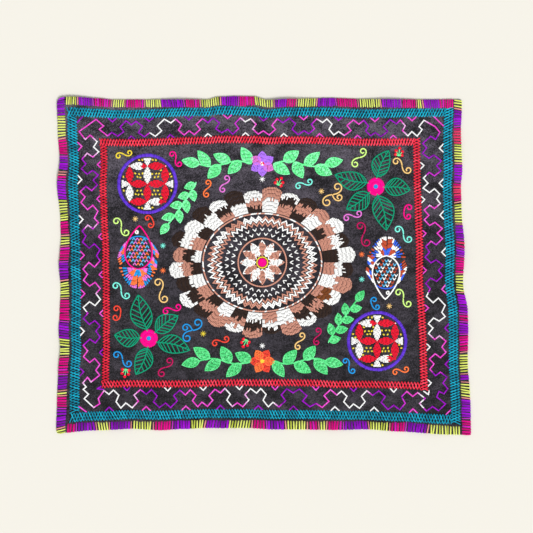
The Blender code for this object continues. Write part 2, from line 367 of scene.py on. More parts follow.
class Needlework:
    def __init__(self, name, shades, sides=6, origin=(0, 0)):
        self.name, self.sides, self.count, self.origin = name, sides, len(shades), (*origin, 0)
        self.index = {shade: k for k, shade in enumerate(shades)}
        self.groups = {}           # strands with the same number of rings are swept together

    def strands(self, paths, widths, heights, shades):
        # paths: strands x rings x (x, y, z above the lift); widths and heights of each ring
        paths = np.asarray(paths, float) + self.origin
        shape = paths.shape[:2]
        if isinstance(shades, str):
            shades = [shades] * shape[0]
        self.groups.setdefault(shape[1], []).append((
            paths, np.broadcast_to(widths, shape), np.broadcast_to(heights, shape),
            np.array([self.index[shade] for shade in shades])))

    def sew(self, starts, ends, shades, width, height=.8, base=straightStitch["base"]):
        # straight stitches that dip into the cloth at both ends
        starts, ends = np.atleast_2d(starts).astype(float), np.atleast_2d(ends).astype(float)
        if not len(starts):
            return
        share, rise, taper = (np.array(straightStitch[key]) for key in ("shares", "rise", "taper"))
        flat = starts[:, None] + (ends - starts)[:, None] * share[:, None]
        z = np.broadcast_to((base + height * rise)[:, None], flat.shape[:2] + (1,))
        self.strands(np.concatenate((flat, z), axis=2), np.atleast_1d(width)[:, None] * taper,
                     height, shades)

    def piece(self, material):
        offset, parts = 0, []
        for group in self.groups.values():
            place, uv, quads, caps = self.sweep(*(np.concatenate(part) for part in zip(*group)))
            parts.append((place, uv, quads + offset, caps + offset))
            offset += len(place)
        place, uv, quads, caps = (np.concatenate(part) for part in zip(*parts))
        loops = np.concatenate((quads.ravel(), caps.ravel())).astype(np.int32)
        sizes = np.concatenate((np.full(len(quads), 4), np.full(len(caps), self.sides)))
        starts = np.concatenate(((0,), np.cumsum(sizes)[:-1])).astype(np.int32)
        mesh = bpy.data.meshes.new(self.name)
        mesh.vertices.add(len(place))
        mesh.vertices.foreach_set("co", (place * mm).astype(np.float32).ravel())
        mesh.loops.add(len(loops))
        mesh.loops.foreach_set("vertex_index", loops)
        mesh.polygons.add(len(sizes))
        mesh.polygons.foreach_set("loop_start", starts)
        mesh.update(calc_edges=True)
        layer = mesh.uv_layers.new(name="OFBake")
        layer.data.foreach_set("uv", uv[loops].astype(np.float32).ravel())
        mesh.shade_smooth()
        mesh.materials.append(material)
        obj = bpy.data.objects.new(self.name, mesh)
        bpy.context.scene.collection.objects.link(obj)
        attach(obj, "root")
        print(self.name, 2 * len(quads) + (self.sides - 2) * len(caps), "triangles")
        return obj

    def sweep(self, paths, widths, heights, shade):
        count, rings = paths.shape[:2]
        tangent = np.gradient(paths, axis=1)
        tangent /= np.linalg.norm(tangent, axis=2, keepdims=True) + 1e-9
        flat = paths[:, -1] - paths[:, 0]
        across = np.stack((-flat[:, 1], flat[:, 0], np.zeros(count)), axis=1)
        across /= np.linalg.norm(across, axis=1, keepdims=True) + 1e-9
        across = np.broadcast_to(across[:, None], paths.shape)
        rise = np.cross(tangent, across)
        turn = np.arange(self.sides) * 2 * np.pi / self.sides
        place = (paths[:, :, None]
                 + across[:, :, None] * (np.cos(turn) * widths[..., None] / 2)[..., None]
                 + rise[:, :, None] * (np.sin(turn) * heights[..., None] / 2)[..., None])
        place[..., 2] += liftAt(place[..., 0], place[..., 1])

        # a strand's map starts anywhere along the height, and keeps clear of its strip's sides
        steps = np.linalg.norm(np.diff(paths, axis=1), axis=2)
        run = np.concatenate((np.zeros((count, 1)), np.cumsum(steps, axis=1)), axis=1)
        span = threadLook["uvSpan"]
        start = rng.random((count, 1)) * np.clip(span - run[:, -1:], 1, None)
        along = np.clip((start + run) / span, .001, .999)
        strip = (shade[:, None] + .03 + .94 * (.5 + .5 * np.cos(turn))) / self.count
        uv = np.stack(np.broadcast_arrays(strip[:, None, :], along[:, :, None]), axis=-1)

        here = np.arange(self.sides)
        there = (here + 1) % self.sides
        ring = ((np.arange(count)[:, None] * rings + np.arange(rings - 1)) * self.sides)[..., None]
        quads = np.stack((ring + here, ring + there, ring + self.sides + there,
                          ring + self.sides + here), axis=-1).reshape(-1, 4)
        first = np.arange(count)[:, None] * rings * self.sides
        caps = np.concatenate((first + here[::-1], first + (rings - 1) * self.sides + here))
        return place.reshape(-1, 3), uv.reshape(-1, 2), quads, caps


# The ground cloth: a thin sheet under all the stitches

groundCloth = {
    "step": 3.6,               # size of a cell of its mesh
    "rimInset": .9,            # the thread wraps round the edge, so the cloth ends this far in
    "thickness": 1.3,
    "hemRise": .75,            # the hem lies on the thread that passes under it
    "hemFade": 5,              # over this length it comes down to the surface inside the hem
    "weave": .9,               # mm from yarn to yarn
    "dark": (5, 4, 7), "light": (72, 67, 76),
    # share of the light colour, and what each noise adds: scale, detail, distortion, strength
    "lightShare": .24,
    # the large patches are the cloth's own mottle together with painted light and shade of soft folds
    "noises": {"mottleAndFoldShade": (28, 1, .5, 1.15), "streak": (50, 2, 0, .8), "slub": (420, 2, 0, 1.1),
               "lint": (900, 2, 0, 2.2)},
    "streakTurn": .5, "streakStretch": 2.6,
    "fade": 1.5,               # how much lighter it is at its top edge than from the middle down
    "bandGapShade": .15,             # share of its colour left in the gaps between the stitches of the bands, a painted shade
    "bump": .0005,
    "bandMargin": 1,           # the painted shade under a band ends this far inside its edges
    "mapMargin": 8,            # the map reaches this far past the cloth, over both its sides
}


def groundFinish():
    look = groundCloth
    finish = Finish("blackCotton", Sheen_Weight=.06, Specular_IOR_Level=.25)
    place = finish.node("ShaderNodeTexCoord", output=3)
    x = finish.node("ShaderNodeSeparateXYZ", None, {0: place})
    y = x.second()
    turns = 1 / (2 * look["weave"] * mm)
    warp, weft = (x * turns).wave(), (y * turns).wave()
    weave = warp * weft + (1 - warp) * (1 - weft)
    slanting = finish.node("ShaderNodeMapping", None, {
        0: place, "Rotation": (0, 0, look["streakTurn"]), "Scale": (1, look["streakStretch"], 1)})
    share, noises = weave * .1 + look["lightShare"], {}
    for name, (scale, detail, distortion, strength) in look["noises"].items():
        noises[name] = finish.noise(slanting if name == "streak" else place, scale, detail, distortion)
        share = share + (noises[name] - .5) * strength
    colour = finish.node("ShaderNodeMix", {"data_type": "RGBA"}, {
        0: share, 6: linear(*look["dark"]), 7: linear(*look["light"])}, output=2)
    # the ground's colour is lighter towards the top edge of the cloth
    lighterAtTop = (y * (look["fade"] / (.5 * clothWidth * mm))).maths("MAXIMUM", 0) + 1
    # painted shade: the ground is darkened in the gaps under the stitched bands
    covered = finish.node("ShaderNodeAttribute", {"attribute_name": "covered"}, output=2)
    height = weave * .45 + noises["slub"] * .5 + noises["mottleAndFoldShade"] * .6
    finish.feed(Base_Color=finish.scaled(colour, lighterAtTop * (1 - covered * (1 - look["bandGapShade"]))),
                Normal=finish.bump(.55, look["bump"], height), Roughness=noises["slub"] * .12 + .8)
    return finish.material


def coveredAt(u, v):
    # true under the two stitched bands, where the ground gets a painted shade
    gaps, along, margin = sideGaps(u, v), alongSides(u, v), groundCloth["bandMargin"]
    covered = np.zeros(len(u), bool)
    for band in bands:
        edges = {side: bandInset(side, band, along[side]) for side in gaps}
        inside = [gaps[side] > start + margin for side, (start, _) in edges.items()]
        past = [gaps[side] > start + width - margin for side, (start, width) in edges.items()]
        covered |= np.logical_and.reduce(inside) & ~np.logical_and.reduce(past)
    return covered


def readAll(items, name, width=1, kind=float):
    values = np.zeros(len(items) * width, kind)
    items.foreach_get(name, values)
    return values.reshape(-1, width) if width > 1 else values


def makeGroundCloth():
    look = groundCloth
    bpy.ops.object.select_all(action="DESELECT")
    bpy.ops.mesh.primitive_grid_add(
        x_subdivisions=round(clothLength / look["step"]),
        y_subdivisions=round(clothWidth / look["step"]), size=1, calc_uvs=False)
    cloth = bpy.context.object
    mesh = cloth.data
    cloth.name = mesh.name = "groundCloth"
    flat = readAll(mesh.vertices, "co", 3)
    u, v = (inset + (flat[:, axis] + .5) * (1 - 2 * inset) for axis, inset in
            enumerate((look["rimInset"] / clothLength, look["rimInset"] / clothWidth)))
    x, y = layOut(u, v)
    gaps, along = sideGaps(u, v), alongSides(u, v)
    inside = np.minimum.reduce([gaps[side] - hemAt(side, along[side]) for side in gaps])
    inside = np.clip(inside / look["hemFade"], 0, 1)
    z = liftAt(x, y) + look["hemRise"] * (1 - smooth(inside))
    mesh.vertices.foreach_set("co", (np.stack((x, y, z), axis=1) * mm).ravel())
    # where the ground gets the painted shade of the bands
    covered = mesh.attributes.new("covered", "FLOAT", "POINT")
    covered.data.foreach_set("value", coveredAt(u, v).astype(np.float32))
    thicken = cloth.modifiers.new("thickness", "SOLIDIFY")
    thicken.thickness = look["thickness"] * mm
    thicken.offset = 1
    bpy.ops.object.modifier_apply(modifier=thicken.name)
    mapSheet(mesh)
    mesh.shade_smooth()
    mesh.materials.append(groundFinish())
    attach(cloth, "root")
    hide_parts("cloth")
    print("groundCloth", len(mesh.polygons), "faces")
    return cloth


def mapSheet(mesh):
    # the face goes to the map's lower half and the back to its upper half
    under = (readAll(mesh.polygons, "normal", 3)[:, 2] < 0).repeat(4)
    place = readAll(mesh.vertices, "co", 3)[readAll(mesh.loops, "vertex_index", kind=np.int32)] / mm
    u = .5 + place[:, 0] / (clothLength + groundCloth["mapMargin"])
    v = .5 + place[:, 1] / (clothWidth + groundCloth["mapMargin"])
    uv = np.stack((u, v * .5 + np.where(under, .5, 0)), axis=1)
    mesh.uv_layers.new(name="OFBake").data.foreach_set("uv", uv.ravel())


# The edging: pairs of strands overcast round the hem, the thread changing colour as it goes

edging = {
    "pitch": {"left": 3.9, "right": 3.9, "bottom": 4.1, "top": 3.4},
    # strand pairs fill this share of the pitch
    "cover": {"Y": .5, "M": .68, "P": .72, "C": .68},
    "thickness": .85,
    "strand": .53,             # a strand's width, as a share of its pair's
    "slant": .17,              # how far stitches lean with the slow drift, as a share of their length
    "lean": .03,               # how far they all lean
    # unevenness: place in pitches, lean, share of the length, height
    "jitter": {"place": .07, "lean": .035, "length": .03, "height": .06},
    "cornerGap": .002,         # share of a side left free beside its neighbours' stitches
    "blendReach": .45,         # stitches within this many pitches of a change have a blend's colour
    "blendCover": .62,         # and are thinner by this
    # length of thread of each colour, in mm, from the left or the bottom end of the side
    "runs": {
        "top": "P10 Y20 P25 M25 Y22 M27 Y26 P34 M25 Y28 P28 M24 Y29 P17 M14 Y30 P32 M30 Y33 P32 M22 "
               "Y10 P25 M23 Y10",
        "left": "Y9 P28 M20 Y8 P23 M26 Y25 P25 M35 Y27 P28 M22 Y15 M22 Y31 P30 M7 Y4 P23 M27 Y33 P27",
        "right": "M25 P31 Y22 P11 Y32 M26 P20 M11 P28 Y30 M25 P11 C12 P23 Y30 C32 P27 Y27 C24 P29 Y12",
        "bottom": "Y12 M19 P28 Y21 P31 Y34 M28 P27 Y22 P35 Y34 M21 P30 Y30 M17 Y12 M25 P36 Y34 M25 "
                  "P32 Y51 M12"},
    "shades": {
        "yellow": (232, 242, 118), "olive": (196, 208, 80), "salmon": (238, 156, 150),
        "magenta": (224, 0, 138), "cerise": (200, 0, 118), "fuchsia": (216, 22, 182),
        "purple": (144, 8, 188), "deepPurple": (124, 6, 162), "brightPurple": (164, 14, 210),
        "lilac": (198, 48, 198), "coral": (228, 58, 104)},
    "mixes": {"Y": ("yellow", "yellow", "yellow", "yellow", "olive"),
              "M": ("magenta", "magenta", "magenta", "cerise", "cerise", "fuchsia"),
              "P": ("purple", "purple", "deepPurple", "brightPurple"),
              "C": ("coral", "coral", "cerise")},
    # path of a strand: share of the hem's depth, mm added to that, height of its middle
    "path": ((1, .8, 1.2), (1, -.3, 2.35), (.5, 0, 2.55), (0, 2, 2.45), (0, .9, 2.1), (0, .42, 1.4),
             (0, .9, .7), (0, 3, .42), (0, 7.6, .42), (0, 8.6, .9)),
    "taper": (.5, .95, 1, 1, 1, 1, 1, 1, 1, .5),
}


def readRuns(text):
    # "Y9 P28" as letters and numbers
    words = text.split()
    return [word[0] for word in words], np.array([float(word[1:]) for word in words])


def makeEdging():
    look, jitter = edging, edging["jitter"]
    work = Needlework("edgingStitches", look["shades"])
    share, add, height = np.array(look["path"]).T
    for side in ("left", "right", "bottom", "top"):
        length, pitch = sideLength(side), look["pitch"][side]
        count = round(length / pitch)
        along = (np.arange(count) + .5 + rng.uniform(-jitter["place"], jitter["place"], count)) / count
        if isLevel(side):      # the left and right sides' stitches hold the corners
            start, end = (hemAt(other, float(side == "top")) / length + look["cornerGap"]
                          for other in ("left", "right"))
            along = along[(along > start) & (along < 1 - end)]
        letters, lengths = readRuns(look["runs"][side])
        borders = np.cumsum(lengths) / lengths.sum()
        leans = drift(along, 2) * look["slant"] + look["lean"]
        for at, slow in zip(along, leans):
            hem = hemAt(side, at)
            inset = share * hem + add
            index = int(np.searchsorted(borders, at))
            letter = letters[index]
            shade, cover = str(rng.choice(look["mixes"][letter])), look["cover"][letter]
            for edge, other in ((borders[index - 1] if index else -1, index - 1),
                                (borders[index], index + 1)):
                near = abs(at - edge) * length < look["blendReach"] * pitch
                if near and 0 <= other < len(letters):
                    shade = "salmon" if "Y" in (letter, letters[other]) else "lilac"
                    cover = look["cover"][letter] * look["blendCover"]
            lean = slow + rng.normal(0, jitter["lean"])
            depth = 1 + rng.normal(0, jitter["length"])
            for half in (-.25, .25):
                s = at + (half * cover * pitch + lean * (inset - hem)) / length
                x, y = sidePlace(side, np.clip(s, 0, 1), np.where(share > 0, inset * depth, inset))
                z = height + rng.uniform(-jitter["height"], jitter["height"])
                work.strands([np.stack((x, y, z), axis=1)],
                             cover * pitch * look["strand"] * np.array(look["taper"]),
                             look["thickness"], shade)
    return work.piece(threadFinish("edgingThread", look["shades"]))


# The two herringbone bands: strands cross from edge to edge and leave rows of small dark gaps

bands = {
    "outer": {
        "pitch": {"left": 4.15, "right": 4.15, "bottom": 4.3, "top": 4.35},
        "travel": 1.5, "offset": .5, "width": 1.56, "slant": .36, "slot": "outer_band_thread",
        # each side's mix holds painted light: lightest on the top side, darkest on the left
        "mix": {"left": ("teal", "teal", "brightTeal", "deepTeal"), "right": ("brightTeal", "teal"),
                "bottom": ("teal", "brightTeal", "teal"), "top": ("brightTeal", "brightTeal", "teal")},
        # the lower layer's strands get darker shades, a painted shade
        "under": ("deepTeal", "teal"),
        "shades": {"brightTeal": (26, 184, 214), "teal": (16, 146, 174), "deepTeal": (10, 108, 132)}},
    "inner": {
        "pitch": {"left": 4.25, "right": 4.45, "bottom": 4.8, "top": 4.45},
        "travel": 1.06, "offset": 0, "width": 1.74, "slant": .42, "slot": "inner_band_thread",
        # each side's mix holds painted light: lightest on the top side, darkest on the left
        "mix": {"left": ("red", "red", "deepRed"), "right": ("red", "red", "rose"),
                "bottom": ("red", "rose", "red"), "top": ("rose", "rose", "red")},
        # the lower layer's strands get darker shades, a painted shade
        "under": ("deepRed", "red", "deepRed"),
        "shades": {"red": (238, 50, 74), "deepRed": (202, 30, 54), "rose": (250, 80, 102)}},
}
# a strand of both bands: its rings, its height, how far the upper layer's middle stands above the
# lower one's, how far past the band's edges it goes as a share, and the unevenness of its ends
bandStrand = {"shares": (0, .08, .3, .5, .7, .92, 1), "taper": (.6, .95, 1, 1.02, 1, .95, .6),
              "base": 1.6, "end": 1.2, "cross": .28, "past": .015, "thickness": .85, "jitter": .25}


def makeBand(band):
    look, strand = bands[band], bandStrand
    work = Needlework(band + "BandStitches", look["shades"])
    t = np.array(strand["shares"])
    for side in ("bottom", "top", "left", "right"):
        length, pitch = sideLength(side), look["pitch"][side]
        start, end = bandEnds(side, band)
        travel = look["travel"] * pitch
        count = round((end - start - travel) / pitch)
        firsts = start + (end - start - travel) * np.arange(count + 1) / count
        slants = drift(firsts / length, 2) * look["slant"] * pitch
        for first, slant in zip(firsts, slants):
            for lean in (1, -1):
                near, far = rng.uniform(-strand["jitter"], strand["jitter"], 2)
                s = first + (t if lean > 0 else 1 - t) * travel + near + (far - near) * t
                s += slant * (t - .5) + (look["offset"] * pitch if lean < 0 else 0)
                along = np.clip(s, start, end) / length
                inset, across = bandInset(side, band, along)
                spread = t * (1 + 2 * strand["past"]) - strand["past"]
                x, y = sidePlace(side, along, inset + across * spread)
                z = strand["base"] + strand["cross"] * (1 + lean * np.cos(np.pi * t))
                z[[0, -1]] = strand["end"]
                shade = str(rng.choice(look["under"] if lean > 0 else look["mix"][side]))
                work.strands([np.stack((x, y, z), axis=1)],
                             look["width"] * np.array(strand["taper"]), strand["thickness"], shade)
    return work.piece(threadFinish(band + "BandThread", look["shades"]))


def bandEnds(side, band):
    # where a band starts and ends along its side: the left one stops at its neighbours' inner
    # edges, the top and bottom ones stop at the right band's inner edge
    at = 0 if side in ("bottom", "left") else 1
    lower, upper = ("left", "right") if isLevel(side) else ("bottom", "top")
    startInset, width = bandInset(lower, band, at)
    endInset, endWidth = bandInset(upper, band, at)
    if side == "left":
        startInset += width
    if side != "right":
        endInset += endWidth
    return float(startInset), sideLength(side) - float(endInset)


# The stepped line between the bands, and the small chevrons on both sides of it

photo = {"scale": 1.49, "middle": (263.59, 265.75)}    # mm to a pixel, the cloth's middle in pixels


def fromPhoto(px, py):
    return (px - photo["middle"][0]) * photo["scale"], (photo["middle"][1] - py) * photo["scale"]


steppedLine = {
    "width": 1.92, "stitch": 4.6, "step": 2.9,
    # where its pairs of points sit along each side, those towards the inner band and those
    # towards the outer one, in the photo's pixels from its left or its top
    "pairs": {
        "bottom": {"inner": (109.3, 146.3, 185.9, 220.4, 256.7, 293.2, 337, 372.5, 412.7),
                   "outer": (125.9, 165.1, 202.2, 237.2, 272.9, 316, 353.7, 393.8)},
        "right": {"inner": (148.2, 183.2, 215.1, 252, 289.1, 327.9, 363.9),
                  "outer": (165.6, 198.5, 233.4, 270.3, 311.8, 347, 383)},
        "top": {"inner": (112.5, 149.3, 189, 227.6, 263.3, 303.6, 338.4, 374.8, 411.8),
                "outer": (131.4, 170.4, 207.9, 245.4, 283.6, 322, 359.1, 396)},
        "left": {"inner": (146.6, 179.8, 217.4, 255.2, 293.6, 331.1, 369.8),
                 "outer": (164.3, 196.9, 236.5, 274.5, 313.2, 350.7)}},
    # share of the way from the outer band to the inner one: of a pair's points, neck and notch
    "shares": {"inner": (.89, .64, .7), "outer": (.12, .4, .31)},
    # share of the way to the next pair: its own tip and neck, then the next one's neck and tip
    "turnShares": (.28, .6, .4, .71),
    "reach": 5,                # from a pair's middle to its points at the ends of a side, in pixels
    "jitter": (.25, .015),     # unevenness in pixels along the side, and as a share across
    # how the line turns the corners, in the photo's pixels
    "turns": {
        "bottomRight": ((424.9, 398.3), (419.3, 403.2), (426.1, 410.8), (432.4, 406.3),
                        (438.2, 410.4), (445.3, 403.7), (436.5, 396.7), (438.8, 391.2),
                        (443.7, 393.6)),
        "topRight": ((430.5, 136.3), (435.3, 139.5), (439.6, 132.4), (434.8, 126.6), (423.7, 120.3),
                     (418.8, 126.6), (421.9, 129.7)),
        "topLeft": ((99.3, 129.3), (103.8, 126.1), (96.2, 119.4), (79.2, 131.5), (85.4, 139.5),
                    (90.4, 135.1)),
        "bottomLeft": ((91.1, 381.8), (87.7, 377), (83, 382.8), (86.3, 386.8), (83.3, 389.1),
                       (88.6, 394), (84.3, 398.4), (93.9, 407.3), (99.9, 403.4), (98.4, 398.4))},
    # the thread's colours along each side, and where each ends in pixels
    "runs": {
        "top": "K109.6 U147.5 W175 K204.8 U237 K242 W252.8 K278.3 U313.8 K318.7 W342.6 K361.6 U399 "
               "K404.5 W427 K600",
        "bottom": "W94 K105 W135.5 K142 U182.3 K224.5 W232 K246.5 W276 K279.5 U317 K337.5 W368 K371 "
                  "U403.5 K419 W425 U600",
        "left": "K139 W154.5 K158 U189 K226 W228.5 U261 K293.5 W312.8 U345 K382 W600",
        "right": "W125 K134 U174 W205 K244 U290 W336.5 K371.5 U600"},
    "blendReach": 1.5,         # a blend's colour this close to a change, in pixels
    "topReach": 1.08,          # the top side's colours end this much closer to it at the corners
    # small chevrons on the outer band, facing the inner pairs, and on the inner band
    "chevrons": {"bottom": ("UKKUUUWWK", "UWWWKKUW"), "right": ("WWWWKUU", "WWKKKWW"),
                 "top": ("UUUKUKUKK", "UUWWWKKK"), "left": ("KWWKKWU", "KKKKKU")},
    "shapes": {"inner": ((-4, 0), (0, .17), (4, 0)), "outer": ((-3.2, 1), (0, .85), (3.2, 1))},
    # those that sit beside the middle of their pair, by number from the left or the top, in pixels
    "shifts": {("bottom", "inner"): {4: 1.5, 6: -2.3, 7: 1.4}, ("right", "outer"): {1: 1.1, 4: -3.9},
               ("bottom", "outer"): {0: 1.1, 1: 2.7, 2: 1.1, 3: 2.3, 4: 2.3},
               ("top", "outer"): {5: -2.6, 6: -1.8, 7: -3.1}, ("left", "inner"): {2: 2.1, 6: 1.7},
               ("left", "outer"): {1: 1.9, 5: 1.6}},
    # short lines and chevrons across the corners: colour, and points in the photo's pixels
    "cornerMarks": (
        ("U", (77.4, 122.6), (83.2, 116.3)), ("K", (433.9, 116.8), (443.3, 126.1)),
        ("K", (79.2, 406.3), (86.3, 411.6)), ("K", (445.5, 414.3), (450.4, 409.8)),
        ("W", (423.6, 391), (428.1, 394.4), (429, 390.5)),
        ("U", (101.3, 386.2), (97.2, 388.5), (103.5, 389.3))),
    "shades": {
        "white": (244, 244, 244), "blush": (234, 172, 226), "pink": (232, 66, 200),
        "palePink": (242, 96, 218), "orchid": (200, 48, 204), "purple": (158, 12, 194),
        "violet": (130, 8, 162)},
    "mixes": {"W": ("white",), "K": ("pink", "pink", "palePink", "pink"),
              "U": ("purple", "purple", "violet")},
    "blends": {"KW": "blush", "UW": "orchid", "KU": "orchid"},
}


def alongPath(points, step):
    # places at an even step along a line of points
    points = np.asarray(points, float)
    run = np.concatenate(((0,), np.cumsum(np.linalg.norm(np.diff(points, axis=0), axis=1))))
    at = np.linspace(0, run[-1], max(1, round(run[-1] / step)) + 1)
    return np.stack((np.interp(at, run, points[:, 0]), np.interp(at, run, points[:, 1])), axis=1)


def bandPlace(side, pixel, share):
    # a place between the outer band (0) and the inner band (1), at a pixel along the photo
    along = np.linspace(0, 1, 201)
    x, y = sidePlace(side, along, 45)
    if isLevel(side):
        along = np.interp(fromPhoto(pixel, 0)[0], x, along)
    else:
        along = np.interp(fromPhoto(0, pixel)[1], y, along)
    outer, width = bandInset(side, "outer", along)
    inner, _ = bandInset(side, "inner", along)
    inset = outer + width + (inner - outer - width) * share
    return tuple(float(c) for c in sidePlace(side, along, inset))


def runOnSide(side):
    # the stepped line along one side, from the photo's left or its top
    look = steppedLine
    pairs = sorted((at, kind) for kind, places in look["pairs"][side].items() for at in places)
    (first, kind), (last, lastKind) = pairs[0], pairs[-1]
    points = [(first - look["reach"], look["shares"][kind][0])]
    for (here, kind), (there, other) in zip(pairs, pairs[1:]):
        (tip, neck, notch), (otherTip, otherNeck, _) = look["shares"][kind], look["shares"][other]
        points += [(here + (there - here) * share, depth) for share, depth in
                   zip((0, *look["turnShares"]), (notch, tip, neck, otherNeck, otherTip))]
    tip, _, notch = look["shares"][lastKind]
    points += [(last, notch), (last + look["reach"], tip)]
    along, across = look["jitter"]
    return [bandPlace(side, at + rng.normal(0, along), depth + rng.normal(0, across))
            for at, depth in points]


def threadAt(x, y):
    # the line's shade at a place
    look = steppedLine
    gaps = sideGaps(*sharesAt(x, y))
    gaps["top"] *= look["topReach"]
    side = min(gaps, key=gaps.get)
    letters, borders = readRuns(look["runs"][side])
    pixel = (x if isLevel(side) else -y) / photo["scale"] + photo["middle"][0 if isLevel(side) else 1]
    near = int(np.argmin(abs(borders - pixel)))
    if abs(borders[near] - pixel) < look["blendReach"] and near + 1 < len(letters):
        return look["blends"]["".join(sorted(letters[near:near + 2]))]
    return str(rng.choice(look["mixes"][letters[int(np.searchsorted(borders, pixel))]]))


def sewLine(work, points, shades, width=2.0, stitch=4.6, step=3.0, lean=.22):
    # stem stitches: each starts beside the one before and leans a little across the line
    places = alongPath(points, step)
    ahead = np.diff(places, axis=0)
    ahead /= np.linalg.norm(ahead, axis=1, keepdims=True) + 1e-9
    beside = np.stack((-ahead[:, 1], ahead[:, 0]), axis=1)
    middle = (places[:-1] + places[1:]) / 2
    half = ahead * stitch / 2 + beside * width * lean
    picked = ([shades(*place) for place in middle] if callable(shades)
              else rng.choice(shades, len(middle)))
    work.sew(middle - half, middle + half, picked, width, .95)


def makeSteppedLine():
    look = steppedLine
    work = Needlework("steppedLineStitches", look["shades"])

    def sewAll(points, shades):
        for start, end in zip(points, points[1:]):
            sewLine(work, (start, end), shades, look["width"], look["stitch"], look["step"])

    turns = {name: [fromPhoto(*point) for point in points] for name, points in look["turns"].items()}
    line = runOnSide("bottom") + turns["bottomRight"] + runOnSide("right")[::-1] + turns["topRight"]
    line += runOnSide("top")[::-1] + turns["topLeft"] + runOnSide("left") + turns["bottomLeft"]
    sewAll(line + line[:1], threadAt)
    for side, rows in look["chevrons"].items():
        for letters, (facing, shape) in zip(rows, look["shapes"].items()):
            shifts = look["shifts"].get((side, facing), {})
            for k, (at, letter) in enumerate(zip(look["pairs"][side][facing], letters)):
                at += shifts.get(k, 0)
                sewAll([bandPlace(side, at + across, share) for across, share in shape],
                       look["mixes"][letter])
    for letter, *points in look["cornerMarks"]:
        sewAll([fromPhoto(*point) for point in points], look["mixes"][letter])
    return work.piece(threadFinish("steppedLineThread", look["shades"]))


# The middle of the cloth: a round of feather-like tabs, garlands, discs, flowers, fishes, scrolls

field = {
    "middle": (-2, 5),
    "sides": 5,                # of a strand, which is finer than the border's
    "shades": {
        "leaf": (120, 247, 162), "leafDeep": (102, 237, 145), "leafLight": (148, 252, 188),
        "fern": (94, 226, 138), "fernDeep": (78, 210, 122), "fernLight": (116, 238, 156),
        "deepGreen": (14, 150, 112), "white": (253, 253, 251), "cream": (248, 222, 186),
        "salmon": (208, 148, 128), "umber": (54, 40, 34), "brown": (128, 72, 36),
        "blue": (36, 150, 222), "sky": (92, 190, 236), "royal": (60, 104, 228),
        "orange": (255, 124, 66), "coral": (240, 74, 56), "pink": (228, 120, 214),
        "lilac": (184, 122, 250), "violet": (108, 62, 222), "deepViolet": (92, 50, 200),
        "red": (240, 26, 56), "crimson": (190, 18, 92), "magenta": (250, 0, 140),
        "yellow": (236, 212, 66), "lime": (212, 252, 138), "gold": (244, 202, 128),
        "aqua": (128, 240, 222), "rust": (188, 78, 48)},
    "greens": {0: ("leaf", "leaf", "leafLight", "leafDeep"),
               180: ("fern", "fern", "fernLight", "fernDeep")},
    "rowPitch": 1.75,          # from row to row in a filled leaf or petal
    "bend": .06,               # of a leaf in outline, as a share of its length
    "scrollReach": 1.18,       # length of a scroll's arm, as a share of its width
}


def turned(points, angle, place=(0, 0)):
    # points turned by an angle in degrees and moved to a place
    c, s = math.cos(math.radians(angle)), math.sin(math.radians(angle))
    return np.asarray(points, float) @ np.array(((c, s), (-s, c))) + np.array(place)


def polar(radius, angle, place=(0, 0)):
    return np.stack((radius * np.cos(angle), radius * np.sin(angle)), axis=-1) + place


def headingOf(step):
    return math.degrees(math.atan2(step[1], step[0]))


def lens(length, half, count):
    # places along a leaf's length, and its half width there
    s = (np.arange(count) + .5) / count
    return s * length, half * np.sin(np.pi * s ** .8) ** .85


def rowsOver(half, least=0):
    # where rows of stitches run over a shape, from -1 to 1
    rows = max(least, round(2 * half / field["rowPitch"]))
    return (np.arange(rows) + .5) / rows * 2 - 1


def leafEdge(at, across, length, start=0):
    return np.concatenate((((start, 0),), np.stack((at, across), axis=1), ((length, 0),)))


def sewLeaf(work, root, angle, length, half, shades, rim=None):
    # a filled leaf or petal: rows that run its length, with small gaps, and an outline
    at, width = lens(length, half, 24)
    for row in rowsOver(half, 3):
        inside = at[width > abs(row) * half + .3]
        if len(inside) > 1:
            ends = turned(((inside[0], row * half), (inside[-1], row * half)), angle, root)
            sewRow(work, *ends, shades, 2.05, 6)
    for side in (1, -1):
        sewLine(work, turned(leafEdge(at, side * width, length), angle, root), rim or shades, 1.8,
                step=3.4)


def sewOpenLeaf(work, root, angle, length, half):
    # a leaf in outline with its midrib and side veins
    at, width = lens(length, half, 16)
    bow = field["bend"] * length * np.sin(np.pi * at / length)

    def sewPath(points, thread):
        sewLine(work, turned(points, angle, root), ("deepGreen",), thread)

    for side in (1, -1):
        sewPath(leafEdge(at, side * width + bow, length), 1.9)
        for k in range(2 - (side < 0), 15 - (side < 0), 2):
            start = at[k] - .75 * width[k]
            if start > 1:
                sewPath(((start, np.interp(start, at, bow)),
                         (at[k], side * (width[k] - .8) + bow[k])), 1.7)
    sewPath(leafEdge(at, bow, length, -3), 2.0)


def sewRound(work, place, inner, outer, shades, spacing=1.6):
    # a ring or a disc of stitches that point to its middle
    count = max(6, round(2 * np.pi * outer / spacing))
    angle = np.arange(count) / count * 2 * np.pi
    near = inner + (outer - inner) * .45 * (np.arange(count) % 2 if inner < 3 else 0)
    work.sew(polar(near, angle, place), polar(outer + rng.uniform(-.3, .3, count), angle, place),
             rng.choice(shades, count), spacing * 1.02)


def sewRow(work, start, end, shades, width, stitch):
    # stitches laid end to end, their joints out of step with the next row's; shades is a mix or a
    # function of the share along the row, and width may be a pair, for the row's two ends
    start, end = np.asarray(start, float), np.asarray(end, float)
    length = np.linalg.norm(end - start)
    if length < 1.2:
        return
    cuts = np.arange(rng.uniform(.35, 1) * stitch, length - 1.5, stitch)
    cuts = np.concatenate(((0,), cuts, (length,))) / length
    near, far = cuts[:-1, None], cuts[1:, None] - .35 / length
    middle = ((near + far) / 2)[:, 0]
    picked = ([shades(share) for share in middle] if callable(shades)
              else rng.choice(shades, len(middle)))
    work.sew(start + (end - start) * near, start + (end - start) * far, picked,
             np.interp(middle, (0, 1), np.broadcast_to(width, 2)))


